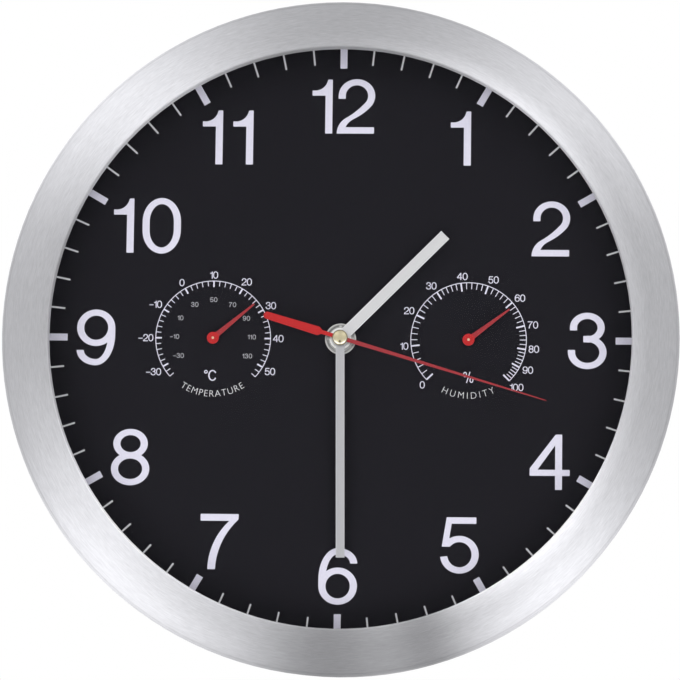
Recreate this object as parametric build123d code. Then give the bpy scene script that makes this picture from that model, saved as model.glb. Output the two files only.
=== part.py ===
from build123d import *
from math import acos, cos, degrees, pi, radians, sin, sqrt, tan
import os

# Round wall clock with a thermometer and a hygrometer in its dial, in millimetres.
# Everything is drawn face up: x to three o'clock, y to twelve o'clock, z from the wall to the viewer.
# The last function turns it upright, so that the dial faces -Y and twelve o'clock points to +Z.

# Frame
frame_radius = 150.0
frame_depth = 40.0
frame_sheet = 1.2
rim_width = 21.0
lip_drop = 2.0
lip_turn = 5.0
shoulder_drop = 4.0
crest_outer_share = 0.69
crest_inner_share = 0.29
frame_round_shares = (0.14, 0.66, 0.85, 0.065)

# Glass, spacer and dial
glass_thickness = 2.0
glass_overlap = 6.5
glass_chamfer = 0.3
seat_play = 0.25
slide_play = 0.3
dial_gap = 9.0
dial_thickness = 1.5
spacer_step = 4.0
spacer_wall = 1.6
spacer_web = 1.5
spacer_relief = 0.4

# Printed marks
ink = 0.08
mark_length = 10.6
mark_width = 3.1
tick_length = 8.6
tick_width = 0.78
mark_margin = 0.1
numeral_height = 24.5
numeral_gap = 17.3
numeral_radius_shares = (1.0, 1.0, 1.008, 1.045, 1.028, 1.008, 1.006, 1.0, 1.023, 1.043, 0.962, 0.995)
numeral_turns = (0, 0.2, 1.8, 0, 0.1, -0.5, 0, 0.2, 0.1, 0, 0, 0.3)
pair_gap_shares = {"10": 0.165, "11": 0.19, "12": 0.09}
label_gap_share = 0.06
inner_label_gap_share = 0.15
reach_share = 4.0

# Figures, as shares of their height, measured from the middle of the foot line.
# An oval is centre x, centre y, half width, half height, first angle, last angle.
# An outline goes on with (x, y) for a straight edge and (through x, through y, x, y) for an arc.
stroke_share = 0.13
thin_stroke_share = 0.113
sign_stroke_share = 0.09
width_shares = {
    "0": 0.69, "1": 0.37, "2": 0.68, "3": 0.69, "4": 0.715, "5": 0.69, "6": 0.69,
    "7": 0.685, "8": 0.69, "9": 0.69, "-": 0.6, "°": 0.3, "C": 0.82, "%": 0.96,
}
oval_shares = {
    "0": [(0, 0.58, 0.352, 0.433, 0, 180), (0, 0.42, 0.352, 0.433, 180, 360)],
    "2": [(0.016, 0.7, 0.335, 0.31, -45, 180)],
    "3": [(0, 0.742, 0.315, 0.272, -90, 180), (0, 0.29, 0.35, 0.304, -180, 90)],
    "5": [(0, 0.325, 0.35, 0.34, -173, 140)],
    "6": [
        (0, 0.325, 0.35, 0.335, 0, 360), (0, 0.46, 0.35, 0.553, 90, 180),
        (0, 0.735, 0.35, 0.278, 0, 90),
    ],
    "8": [(0, 0.745, 0.315, 0.268, 0, 360), (0, 0.287, 0.35, 0.3, 0, 360)],
    "9": [
        (0, 0.675, 0.35, 0.335, 0, 360), (0, 0.54, 0.35, 0.553, 270, 360),
        (0, 0.265, 0.35, 0.278, 180, 270),
    ],
    "C": [(0, 0.5, 0.4, 0.51, 38, 322)],
}
sign_oval_shares = {
    "°": [(0, 0.83, 0.17, 0.17, 0, 360)],
    "%": [(-0.3, 0.76, 0.18, 0.25, 0, 360), (0.3, 0.24, 0.18, 0.25, 0, 360)],
}
outline_shares = {
    "0": [
        [(-0.352, 0.42), (-0.222, 0.42), (-0.222, 0.58), (-0.352, 0.58)],
        [(0.222, 0.42), (0.352, 0.42), (0.352, 0.58), (0.222, 0.58)],
    ],
    "1": [
        [(0.055, 0), (0.185, 0), (0.185, 1), (0.1, 1), (0.035, 0.868, -0.185, 0.8),
         (-0.185, 0.702), (0.055, 0.702)],
    ],
    "2": [
        [(0.162, 0.562), (0.012, 0.42, -0.15, 0.305), (-0.295, 0.18, -0.348, 0), (0.335, 0),
         (0.335, 0.118), (-0.188, 0.118), (-0.135, 0.2, -0.03, 0.275), (0.165, 0.4, 0.304, 0.535)],
        [(-0.319, 0.645), (-0.189, 0.645), (-0.189, 0.7), (-0.319, 0.7)],
    ],
    "3": [
        [(-0.072, 0.474), (0, 0.474), (0, 0.59), (-0.072, 0.59)],
        [(-0.315, 0.69), (-0.185, 0.69), (-0.185, 0.742), (-0.315, 0.742)],
        [(-0.35, 0.29), (-0.22, 0.29), (-0.22, 0.333), (-0.35, 0.333)],
    ],
    "4": [
        [(0.105, 1), (0.222, 1), (0.222, 0.362), (0.36, 0.362), (0.36, 0.252), (0.222, 0.252),
         (0.222, 0), (0.097, 0), (0.097, 0.252), (-0.362, 0.252), (-0.362, 0.385)],
    ],
    "5": [
        [(-0.232, 1), (0.302, 1), (0.302, 0.884), (-0.142, 0.884), (-0.183, 0.63), (-0.15, 0.53),
         (-0.171, 0.468), (-0.32, 0.468)],
    ],
    "6": [[(-0.35, 0.325), (-0.22, 0.325), (-0.22, 0.46), (-0.35, 0.46)]],
    "7": [
        [(-0.345, 1), (0.345, 1), (0.345, 0.905), (0.05, 0.5, -0.072, 0), (-0.21, 0),
         (-0.1, 0.49, 0.178, 0.876), (-0.345, 0.876)],
    ],
    "9": [[(0.22, 0.54), (0.35, 0.54), (0.35, 0.675), (0.22, 0.675)]],
    "-": [[(-0.3, 0.37), (0.3, 0.37), (0.3, 0.48), (-0.3, 0.48)]],
    "%": [[(-0.2, -0.02), (-0.11, -0.02), (0.2, 1.02), (0.11, 1.02)]],
}
hole_shares = {"4": [[(0.097, 0.362), (0.097, 0.805), (-0.22, 0.362)]]}

# Thermometer and hygrometer
instrument_offset = 57.0
scale_radius = 25.7
scale_line = 0.35
heavy_line = 0.7
label_clearance = 1.1
label_height = 3.2
inner_label_radius = 17.3
inner_label_height = 2.1
unit_drop = 16.7
unit_height = 4.8
degrees_per_celsius = 3.0
scale_middle_celsius = 10
celsius_labels = range(-30, 51, 10)
celsius_ticks = range(-34, 55, 2)
celsius_tick_lengths = (2.3, 2.7)
fahrenheit_labels = (-30, -10, 10, 30, 50, 70, 90, 110, 130)
inner_label_step = 29.3
humidity_angles = (-133.9, -96.4, -64.6, -33.8, -8.0, 19.4, 48.7, 75.2, 99.1, 118.0, 134.7)
humidity_label_turns = (-134.7, -95.9, -64.0, -34.8, -6.0, 22.0, 50.2, 76.3, 97.6, 116.6, 134.3)
humidity_minor_ticks = 4
humidity_tick_lengths = (2.9, 3.8)
pointer_lengths = {"thermometer": 23.9, "hygrometer": 22.8}
pointer_turns = {"thermometer": 50.0, "hygrometer": 52.8}
pointer_hub_radius = 2.65
pointer_root_width = 2.5
pointer_tip_width = 0.7
pointer_thickness = 0.4
pointer_lift = 1.3
pin_radius = 0.55
pin_stand = 0.4
instrument_arbor_radius = 0.8
cup_radius = 17.0
cup_depth = 9.0
cup_wall = 1.2
cup_flange = 3.0
cup_post = 1.6
cup_vent_width = 2.0
cup_vent_length = 7.0
cup_vents = 6
coil_sheets = {"thermometer": 0.3, "hygrometer": 0.2}
coil_turns = {"thermometer": 7, "hygrometer": 5}
coil_width = 3.2
coil_radius = 9.0
coil_start = 1.9

# Hands
hour_hand_length = 65.7
hour_hand_width = 5.05
minute_hand_length = 97.5
minute_hand_width = 3.85
hand_sheet = 0.5
second_hand_length = 95.6
second_hand_root_width = 1.9
second_hand_tip_width = 0.4
second_tail_length = 35.5
second_tail_neck = 1.7
second_tail_shoulder = 8.5
second_tail_slope = 1.5
second_tail_width = 3.9
second_tail_end_width = 3.2
second_hand_sheet = 0.4
hand_boss_margin = 1.4
hand_air = 1.1
cap_radius = 3.4
cap_height = 1.3
cap_collar = 0.3
hour_turn = 44.8
minute_turn = 179.3
second_turn = 106.6

# Shafts that turn inside each other
second_arbor_radius = 0.5
minute_tube_radius = 1.6
hour_tube_radius = 2.55
bushing_radius = 4.0
running_fit = 0.08
press_fit = 0.02
hand_stub = 0.5

# Dial nut and washers
rubber_thickness = 1.0
rubber_radius = 9.0
washer_thickness = 0.5
washer_radius = 6.9
nut_thickness = 2.0
nut_radius = 5.9
nut_collar_radius = 4.8
nut_step = 0.6
nut_bevel = 0.5
nut_notch = 1.2
nut_notch_radius = 5.2
thread_stand = 0.4
bushing_flange_radius = 5.5
bushing_flange = 0.8

# Movement case
case_side = 56.0
case_corner = 3.0
case_wall = 1.5
case_shift = 2.0
pillar_radius = 1.8
bay_wall = 1.0
battery_radius = 7.25
battery_length = 49.5
battery_play = 0.2
battery_nub_radius = 2.75
battery_nub = 1.0
battery_rim = 0.4
contact_sheet = 0.4
contact_width = 9.0
contact_leg = 3.0
contact_play = 0.1
contact_cup_radius = 3.4
layer_air = 0.65

# Gear train: teeth, module, wheel thickness
pressure_angle = 20
gear_play = 0.05
wheel_addendum_share = 0.45
pinion_addendum_share = 0.9
root_clearance_share = 0.25
flank_steps = 3
pinion_overhang = 0.2
motion_module, cannon_teeth, motion_teeth = 0.5, 12, 36
hour_module, motion_pinion_teeth, hour_teeth = 0.48, 10, 40
center_module, third_pinion_teeth, center_teeth = 0.34, 8, 64
third_module, second_pinion_teeth, third_teeth = 0.36, 8, 60
second_module, intermediate_pinion_teeth, second_teeth = 0.4, 10, 50
intermediate_module, rotor_teeth, intermediate_teeth = 0.25, 8, 48
hour_wheel_thickness = 1.4
motion_wheel_thickness = 1.2
train_plate_thickness = 1.0
center_wheel_thickness = 1.0
third_wheel_thickness = 1.0
second_wheel_thickness = 0.9
intermediate_wheel_thickness = 0.8
arbor_radius = 0.55
pivot_radius = 0.35
pivot_play = 0.06
pivot_depth = 0.9
motion_bearing = 15
knob_bearing = 40
third_bearing = 150
intermediate_bearing = 60
rotor_bearing = 100

# Setting knob
knob_radius = 6.0
knob_thickness = 1.8
knob_shaft_radius = 1.4
knob_air = 0.2
knob_flutes = 24
knob_flute_radius = 0.5

# Motor and circuit
magnet_radius = 2.8
magnet_thickness = 2.0
magnet_sleeve_radius = 0.8
stator_air = 0.4
stator_gap = 0.6
stator_sheet = 1.0
stator_width = 10.6
stator_margin = 5.2
core_side = 1.8
core_length = 23.0
bobbin_air = 0.2
bobbin_flange = 0.8
bobbin_wall = 0.5
bobbin_length = 18.0
winding_margin = 0.3
board_width = 10.0
board_length = 18.0
board_thickness = 0.8
board_lift = 1.3
board_margin = 0.5
board_post_radius = 1.1
chip_radius = 2.2
chip_height = 0.9
crystal_radius = 1.0
crystal_length = 6.0

# Screws
case_screw_radius = 0.8
case_screw_head_radius = 1.6
case_screw_head = 0.9
case_screw_grip = 5.0
screw_play = 0.05
frame_screws_count = 6
frame_screw_radius = 1.25
frame_screw_head_radius = 2.3
frame_screw_length = 9.0
frame_screw_sink = 0.1
frame_screw_lift = 7.0
frame_screw_first_angle = 30
boss_radius = 3.2
drive_width = 0.5
drive_depth = 0.4

# Back cover
cover_inset = 1.0
cover_thickness = 2.0
cover_wall = 2.0
cover_rim_height = 12.0
press_rib_wall = 2.0
press_rib_margin = 0.3
rib_count = 8
rib_width = 1.6
rib_height = 7.0
rib_gap = 3.6
window_margin = 2.0
window_corner = 4.0
vent_length = 24.0
vent_width = 2.4
vent_pitch = 5.0
vent_count = 5

# Hanger
hanger_drop = 48.5
hanger_play = 0.5
hanger_width = 28.0
hanger_length = 44.0
hanger_corner = 3.0
hanger_sheet = 1.5
keyhole_radius = 4.5
keyhole_slot_width = 4.5
keyhole_slot = 12.0
hanger_window_margin = 2.0
rivet_radius = 1.5
rivet_head_radius = 2.7
rivet_head = 0.7
rivet_inset = 5.0

overrun = 1.0

# Levels above the wall, from the front backwards
lip_top_z = frame_depth - lip_drop
glass_front_z = lip_top_z - lip_turn
glass_back_z = glass_front_z - glass_thickness
dial_front_z = glass_back_z - dial_gap
dial_back_z = dial_front_z - dial_thickness
case_front_z = dial_back_z - rubber_thickness
plate_back_z = case_front_z - case_wall
hour_wheel_z = plate_back_z - bushing_flange - layer_air - hour_wheel_thickness
motion_wheel_z = hour_wheel_z - layer_air - motion_wheel_thickness
train_plate_z = motion_wheel_z - layer_air - train_plate_thickness
center_wheel_z = train_plate_z - layer_air - center_wheel_thickness
third_wheel_z = center_wheel_z - layer_air - third_wheel_thickness
second_wheel_z = third_wheel_z - layer_air - second_wheel_thickness
intermediate_wheel_z = second_wheel_z - layer_air - intermediate_wheel_thickness
floor_z = intermediate_wheel_z - layer_air
case_back_z = floor_z - case_wall
stator_z = second_wheel_z + second_wheel_thickness + stator_air
washer_front_z = dial_front_z + washer_thickness
nut_front_z = washer_front_z + nut_thickness
bushing_front_z = nut_front_z + thread_stand
hour_hand_z = bushing_front_z + thread_stand
minute_hand_z = hour_hand_z + hand_sheet + hand_air
second_hand_z = minute_hand_z + hand_sheet + hand_air
pointer_z = dial_front_z + pointer_lift
cover_front_z = cover_inset + cover_thickness
hanger_front_z = cover_front_z + hanger_sheet
board_z = floor_z + board_lift

# Radii and places that follow from the sizes above
lip_radius = frame_radius - rim_width
glass_radius = lip_radius + glass_overlap
spacer_inner_radius = lip_radius + spacer_step
spacer_seat_radius = glass_radius + seat_play
spacer_outer_radius = spacer_seat_radius + spacer_wall
frame_inner_radius = frame_radius - frame_sheet
cover_radius = frame_inner_radius - slide_play
mark_outer_radius = spacer_inner_radius - mark_margin
mark_inner_radius = mark_outer_radius - mark_length
tick_inner_radius = mark_outer_radius - tick_length
numeral_radius = mark_inner_radius - numeral_gap
hanger_height = cover_radius - hanger_drop
case_half = case_side / 2
bay_half_length = case_half - case_wall
bay_low_y = -case_shift - case_half + case_wall
bay_high_y = bay_low_y + 2 * battery_radius + 2 * battery_play
train_low_y = bay_high_y + bay_wall
case_high_y = case_half - case_shift - case_wall
battery_y = bay_low_y + battery_play + battery_radius
battery_z = plate_back_z - battery_play - battery_radius
battery_front_x = bay_half_length - contact_sheet - contact_play
battery_back_x = battery_front_x - battery_nub - battery_length


def polar(radius, angle):
    return Vector(radius * cos(radians(angle)), radius * sin(radians(angle)), 0)


def clock_place(radius, turn):
    return polar(radius, 90 - turn)


def center_distance(teeth_a, teeth_b, module):
    return (teeth_a + teeth_b) * module / 2


motion_axis = polar(center_distance(cannon_teeth, motion_teeth, motion_module), motion_bearing)
knob_axis = motion_axis + polar(center_distance(cannon_teeth, motion_teeth, motion_module), knob_bearing)
third_axis = polar(center_distance(second_pinion_teeth, third_teeth, third_module), third_bearing)
intermediate_axis = polar(
    center_distance(intermediate_pinion_teeth, second_teeth, second_module), intermediate_bearing
)
rotor_axis = intermediate_axis + polar(
    center_distance(rotor_teeth, intermediate_teeth, intermediate_module), rotor_bearing
)
pillar_x = bay_half_length - pillar_radius
pillar_places = (
    Vector(-pillar_x, case_high_y - case_side / 5, 0),
    Vector(-pillar_x, train_low_y + 2 * pillar_radius, 0),
    Vector(pillar_x, case_high_y - case_side / 8, 0),
    Vector(case_side / 4, train_low_y + 2 * pillar_radius, 0),
)
stator_high_y = rotor_axis.Y + stator_margin
core_z = stator_z + stator_sheet / 2
bobbin_flange_radius = train_plate_z - core_z - bobbin_air
core_y = case_high_y - bobbin_flange_radius - slide_play
core_right_x = rotor_axis.X - stator_margin
core_left_x = core_right_x - core_length
board_right_x = bay_half_length - contact_sheet - contact_play
board_left_x = board_right_x - board_width
board_low_y = train_low_y + board_margin
board_high_y = board_low_y + board_length


# Solids between two levels
def slab(sketch, back, front):
    return extrude(Pos(0, 0, back) * sketch, front - back)


def disc(radius, back, front, place=Vector(0, 0, 0)):
    return slab(Pos(place.X, place.Y, 0) * Circle(radius), back, front)


def ring(outer, inner, back, front, place=Vector(0, 0, 0)):
    return slab(Pos(place.X, place.Y, 0) * (Circle(outer) - Circle(inner)), back, front)


def block(x_low, x_high, y_low, y_high, back, front):
    middle = Pos((x_low + x_high) / 2, (y_low + y_high) / 2, 0)
    return slab(middle * Rectangle(x_high - x_low, y_high - y_low), back, front)


def polygon(points):
    return make_face(Polyline(*points, close=True))


def turned(shape, turn):
    return Rot(0, 0, -turn) * shape


def revolved(points):
    return revolve(Plane.XZ * polygon(points), Axis.Z)


def group(shapes):
    return Compound(children=[solid for shape in shapes for solid in shape.solids()])


# Figures and signs
def oval_band(height, oval, stroke, thin_stroke):
    x, y, half_width, half_height, first, last = oval
    outer = Ellipse(half_width * height, half_height * height)
    inner = Ellipse((half_width - stroke) * height, (half_height - thin_stroke) * height)
    band = outer - inner
    if last - first < 360:
        steps = 8
        reach = reach_share * height
        rays = [polar(reach, first + (last - first) * step / steps) for step in range(steps + 1)]
        band = band & polygon([(0, 0)] + [(ray.X, ray.Y) for ray in rays])
    return Pos(x * height, y * height, 0) * band


def outline(height, shares):
    places = [(share[-2] * height, share[-1] * height) for share in shares]
    edges = []
    for number, share in enumerate(shares):
        start, end = places[number - 1], places[number]
        if len(share) == 4:
            through = (share[0] * height, share[1] * height)
            edges.append(ThreePointArc(start, through, end))
        else:
            edges.append(Line(start, end))
    return make_face(edges)


def figure(character, height):
    pieces = [
        oval_band(height, oval, stroke_share, thin_stroke_share)
        for oval in oval_shares.get(character, [])
    ]
    pieces += [
        oval_band(height, oval, sign_stroke_share, sign_stroke_share)
        for oval in sign_oval_shares.get(character, [])
    ]
    pieces += [outline(height, shares) for shares in outline_shares.get(character, [])]
    shape = pieces[0]
    for piece in pieces[1:]:
        shape = shape + piece
    for shares in hole_shares.get(character, []):
        shape = shape - outline(height, shares)
    return Pos(0, -height / 2, 0) * shape


def number_width_share(text, gap_share):
    return sum(width_shares[character] for character in text) + gap_share * (len(text) - 1)


def number(text, height, gap_share, place):
    left = -number_width_share(text, gap_share) / 2
    pieces = []
    for character in text:
        width = width_shares[character]
        middle = Pos(place.X + (left + width / 2) * height, place.Y, 0)
        pieces.append(middle * figure(character, height))
        left += width + gap_share
    return pieces


def printed(sketches):
    return group(slab(sketch, dial_front_z, dial_front_z + ink) for sketch in sketches)


def radial_bar(inner, outer, width, turn):
    return turned(Pos(0, (inner + outer) / 2, 0) * Rectangle(width, outer - inner), turn)


# Frame, glass, spacer and dial
def bezel_frame():
    path = FilletPolyline(
        (frame_radius, 0),
        (frame_radius, frame_depth - shoulder_drop),
        (lip_radius + crest_outer_share * rim_width, frame_depth),
        (lip_radius + crest_inner_share * rim_width, frame_depth),
        (lip_radius, lip_top_z),
        (lip_radius, glass_front_z),
        radius=[share * rim_width for share in frame_round_shares],
    )
    section = make_face(path.offset_2d(frame_sheet, side=Side.LEFT, closed=True).edges())
    shell = revolve(Plane.XZ * section, Axis.Z)
    for cut in frame_screw_holes():
        shell = shell - cut
    return shell


def front_glass():
    glass = disc(glass_radius, glass_back_z, glass_front_z)
    return chamfer(glass.edges(), glass_chamfer)


def spacer_ring():
    middle = (glass_back_z + dial_front_z) / 2
    front = glass_front_z - spacer_relief
    rear = dial_back_z + spacer_relief
    return revolved([
        (spacer_inner_radius, dial_front_z),
        (spacer_inner_radius, glass_back_z),
        (spacer_seat_radius, glass_back_z),
        (spacer_seat_radius, front),
        (spacer_outer_radius, front),
        (spacer_outer_radius, middle + spacer_web / 2),
        (cover_radius, middle + spacer_web / 2),
        (cover_radius, middle - spacer_web / 2),
        (spacer_outer_radius, middle - spacer_web / 2),
        (spacer_outer_radius, rear),
        (spacer_seat_radius, rear),
        (spacer_seat_radius, dial_front_z),
    ])


def instrument_places():
    return {
        "thermometer": Vector(-instrument_offset, 0, 0),
        "hygrometer": Vector(instrument_offset, 0, 0),
    }


def dial_plate():
    plate = disc(glass_radius, dial_back_z, dial_front_z)
    plate = plate - disc(bushing_radius + running_fit, dial_back_z, dial_front_z)
    for place in instrument_places().values():
        plate = plate - disc(instrument_arbor_radius + running_fit, dial_back_z, dial_front_z, place)
    return plate


def hour_numerals():
    pieces = []
    for hour in range(12):
        text = str(hour or 12)
        place = clock_place(
            numeral_radius * numeral_radius_shares[hour], 360 * hour / 12 + numeral_turns[hour]
        )
        pieces += number(text, numeral_height, pair_gap_shares.get(text, 0), place)
    return printed(pieces)


def hour_marks():
    return printed(
        radial_bar(mark_inner_radius, mark_outer_radius, mark_width, 360 * hour / 12)
        for hour in range(12)
    )


def minute_marks():
    return printed(
        radial_bar(tick_inner_radius, mark_outer_radius, tick_width, 360 * minute / 60)
        for minute in range(60) if minute % 5
    )


# Printed scales of the two instruments
def scale_arc(first, last):
    band = Circle(scale_radius + scale_line / 2) - Circle(scale_radius - scale_line / 2)
    steps = 8
    turns = [first + (last - first) * step / steps for step in range(steps + 1)]
    rays = [clock_place(reach_share * scale_radius, turn) for turn in turns]
    return band & polygon([(0, 0)] + [(ray.X, ray.Y) for ray in rays])


def scale_comb(first, last, ticks):
    comb = scale_arc(first, last)
    bars = [
        radial_bar(scale_radius - length, scale_radius, width, turn) for turn, length, width in ticks
    ]
    return comb + bars


def scale_label(text, turn):
    half_width = label_height * number_width_share(text, label_gap_share) / 2
    reach = half_width * abs(sin(radians(turn))) + label_height / 2 * abs(cos(radians(turn)))
    place = clock_place(scale_radius + label_clearance + reach, turn)
    return number(text, label_height, label_gap_share, place)


def celsius_turn(celsius):
    return (celsius - scale_middle_celsius) * degrees_per_celsius


def thermometer_scale():
    ticks = []
    for celsius in celsius_ticks:
        major = celsius % 10 == 0
        width = heavy_line if major else scale_line
        ticks.append((celsius_turn(celsius), celsius_tick_lengths[major], width))
    pieces = [scale_comb(celsius_turn(celsius_ticks[0]), celsius_turn(celsius_ticks[-1]), ticks)]
    for celsius in celsius_labels:
        pieces += scale_label(str(celsius), celsius_turn(celsius))
    middle = len(fahrenheit_labels) // 2
    for step, fahrenheit in enumerate(fahrenheit_labels):
        place = clock_place(inner_label_radius, (step - middle) * inner_label_step)
        pieces += number(str(fahrenheit), inner_label_height, inner_label_gap_share, place)
    shift = unit_height * (width_shares["°"] + label_gap_share) / 2
    pieces += number("°C", unit_height, label_gap_share, Vector(-shift, -unit_drop, 0))
    place = instrument_places()["thermometer"]
    return printed(Pos(place.X, place.Y, 0) * piece for piece in pieces)


def hygrometer_scale():
    ticks = []
    minor, major = humidity_tick_lengths
    for low, high in zip(humidity_angles, humidity_angles[1:]):
        ticks.append((low, major, heavy_line))
        for step in range(1, humidity_minor_ticks + 1):
            turn = low + (high - low) * step / (humidity_minor_ticks + 1)
            ticks.append((turn, minor, scale_line))
    ticks.append((humidity_angles[-1], major, heavy_line))
    pieces = [scale_comb(humidity_angles[0], humidity_angles[-1], ticks)]
    for step, turn in enumerate(humidity_label_turns):
        pieces += scale_label(str(10 * step), turn)
    pieces += number("%", unit_height, label_gap_share, Vector(0, -unit_drop, 0))
    place = instrument_places()["hygrometer"]
    return printed(Pos(place.X, place.Y, 0) * piece for piece in pieces)


# Instruments behind the dial
def instrument_cup(place):
    back = dial_back_z - cup_depth
    cup = disc(cup_radius, back, dial_back_z) + disc(
        cup_radius + cup_flange, dial_back_z - cup_wall, dial_back_z
    )
    cup = cup - disc(cup_radius - cup_wall, back + cup_wall, dial_back_z)
    cup = cup - disc(pivot_radius + pivot_play, back, back + cup_wall)
    post_x = coil_radius + cup_post / 2 + slide_play
    post = Pos(post_x, 0, 0) * Rectangle(cup_post, cup_post)
    cup = cup + slab(post, back + cup_wall, coil_back_z() + coil_width)
    slot = Pos(0, cup_radius - cup_wall - cup_vent_length, 0) * SlotOverall(
        cup_vent_length, cup_vent_width, rotation=90
    )
    for step in range(cup_vents):
        cup = cup - slab(turned(slot, 360 * step / cup_vents), back, back + cup_wall)
    return Pos(place.X, place.Y, 0) * cup


def coil_back_z():
    return dial_back_z - cup_depth / 2 - coil_width / 2


def spiral_wire(start, end, turns):
    half_turns = 2 * turns
    step = (end - start) / half_turns
    edges = []
    for count in range(half_turns):
        radius = start + step * count
        side = 1 if count % 2 == 0 else -1
        first = (side * radius, 0)
        last = (-side * (radius + step), 0)
        through = (side * -step / 2, side * (radius + step / 2))
        edges.append(ThreePointArc(first, through, last))
    return edges


def instrument_coil(name, place):
    sheet = coil_sheets[name]
    inner = spiral_wire(coil_start, coil_radius, coil_turns[name])
    outer = spiral_wire(coil_start + sheet, coil_radius + sheet, coil_turns[name])
    edges = inner + outer + [
        Line(inner[0] @ 0, outer[0] @ 0),
        Line(inner[-1] @ 1, outer[-1] @ 1),
    ]
    strip = slab(make_face(edges), coil_back_z(), coil_back_z() + coil_width)
    tongue = block(
        instrument_arbor_radius + press_fit, coil_start + sheet, -sheet, 0,
        coil_back_z(), coil_back_z() + coil_width,
    )
    return Pos(place.X, place.Y, 0) * (strip + tongue)


def instrument_arbor(name, place):
    back = dial_back_z - cup_depth
    shoulder = back + cup_wall + press_fit
    arbor = disc(instrument_arbor_radius, shoulder, pointer_z)
    arbor = arbor + disc(pivot_radius, back, shoulder)
    arbor = arbor + disc(pin_radius, pointer_z, pointer_z + pointer_thickness + pin_stand)
    return Pos(place.X, place.Y, 0) * turned(arbor, pointer_turns[name])


def instrument_pointer(name, place):
    length = pointer_lengths[name]
    blade = polygon([
        (-pointer_root_width / 2, 0),
        (pointer_root_width / 2, 0),
        (pointer_tip_width / 2, length),
        (-pointer_tip_width / 2, length),
    ])
    sketch = blade + Circle(pointer_hub_radius) - Circle(pin_radius + press_fit)
    pointer = slab(sketch, pointer_z, pointer_z + pointer_thickness)
    return Pos(place.X, place.Y, 0) * turned(pointer, pointer_turns[name])


# Hands
def straight_hand(length, width, hole_radius, back):
    blade = Pos(0, length / 2, 0) * Rectangle(width, length)
    sketch = blade + Circle(hole_radius + hand_boss_margin) - Circle(hole_radius + press_fit)
    return slab(sketch, back, back + hand_sheet)


def hour_hand():
    return turned(straight_hand(hour_hand_length, hour_hand_width, hour_tube_radius, hour_hand_z), hour_turn)


def minute_hand():
    hand = straight_hand(minute_hand_length, minute_hand_width, minute_tube_radius, minute_hand_z)
    return turned(hand, minute_turn)


def second_hand():
    blade = polygon([
        (-second_hand_root_width / 2, 0),
        (second_hand_root_width / 2, 0),
        (second_hand_tip_width / 2, second_hand_length),
        (-second_hand_tip_width / 2, second_hand_length),
    ])
    end_radius = second_tail_end_width / 2
    wide_y = -second_tail_shoulder - second_tail_slope
    tail = polygon([
        (second_tail_neck / 2, 0),
        (second_tail_neck / 2, -second_tail_shoulder),
        (second_tail_width / 2, wide_y),
        (end_radius, end_radius - second_tail_length),
        (-end_radius, end_radius - second_tail_length),
        (-second_tail_width / 2, wide_y),
        (-second_tail_neck / 2, -second_tail_shoulder),
        (-second_tail_neck / 2, 0),
    ])
    tip = Pos(0, end_radius - second_tail_length, 0) * Circle(end_radius)
    boss = Circle(second_arbor_radius + hand_boss_margin)
    sketch = blade + tail + tip + boss - Circle(second_arbor_radius + press_fit)
    return turned(slab(sketch, second_hand_z, second_hand_z + second_hand_sheet), second_turn)


def second_hand_cap():
    base = second_hand_z + second_hand_sheet
    rise = cap_height - cap_collar
    ball_radius = (cap_radius**2 + rise**2) / (2 * rise)
    ball = Pos(0, 0, base + cap_height - ball_radius) * Sphere(ball_radius)
    return disc(cap_radius, base, base + cap_height) & ball


# Dial nut and washers
def threaded_bushing():
    bushing = disc(bushing_radius, plate_back_z, bushing_front_z)
    bushing = bushing + disc(bushing_flange_radius, plate_back_z - bushing_flange, plate_back_z)
    return bushing - disc(hour_tube_radius + running_fit, plate_back_z - bushing_flange, bushing_front_z)


def rubber_washer():
    return ring(rubber_radius, bushing_radius + running_fit, case_front_z, dial_back_z)


def dial_washer():
    return ring(washer_radius, bushing_radius + running_fit, dial_front_z, washer_front_z)


def round_nut():
    bore = bushing_radius + press_fit
    nut = revolved([
        (bore, washer_front_z),
        (nut_radius, washer_front_z),
        (nut_radius, nut_front_z - nut_step - nut_bevel),
        (nut_radius - nut_bevel, nut_front_z - nut_step),
        (nut_collar_radius, nut_front_z - nut_step),
        (nut_collar_radius, nut_front_z),
        (bore, nut_front_z),
    ])
    notch = slab(Rectangle(nut_notch, 2 * nut_radius), nut_front_z - nut_step - nut_bevel, nut_front_z)
    keep = disc(nut_notch_radius, washer_front_z, nut_front_z)
    for turn in (0, 90):
        nut = nut - (turned(notch, turn) - keep)
    return nut


# Gears
def involute(angle):
    return tan(angle) - angle


def gear_sketch(teeth, module, addendum_share, dedendum_share, phase):
    pitch_radius = teeth * module / 2
    base_radius = pitch_radius * cos(radians(pressure_angle))
    tip_radius = pitch_radius + addendum_share * module
    root_radius = pitch_radius - dedendum_share * module
    flank_start = max(base_radius, root_radius)
    half_pitch_tooth = (pi * module / 2 - gear_play) / (2 * pitch_radius)
    flank = [(root_radius, None)] if base_radius > root_radius else []
    for step in range(flank_steps + 1):
        radius = flank_start + (tip_radius - flank_start) * step / flank_steps
        flank.append((radius, acos(base_radius / radius)))
    half_angles = []
    for radius, angle in flank:
        angle = 0 if angle is None else angle
        half = half_pitch_tooth + involute(radians(pressure_angle)) - involute(angle)
        half_angles.append((radius, degrees(half)))
    points = []
    for tooth in range(teeth):
        middle = phase + 360 * tooth / teeth
        points += [polar(radius, middle - half) for radius, half in half_angles]
        points += [polar(radius, middle + half) for radius, half in reversed(half_angles)]
    return polygon([(point.X, point.Y) for point in points])


def wheel(teeth, module, back, thickness, phase):
    dedendum_share = pinion_addendum_share + root_clearance_share
    sketch = gear_sketch(teeth, module, wheel_addendum_share, dedendum_share, phase)
    return slab(sketch, back, back + thickness)


def pinion(teeth, module, back, front, phase):
    dedendum_share = wheel_addendum_share + root_clearance_share
    return slab(gear_sketch(teeth, module, pinion_addendum_share, dedendum_share, phase), back, front)


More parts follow.
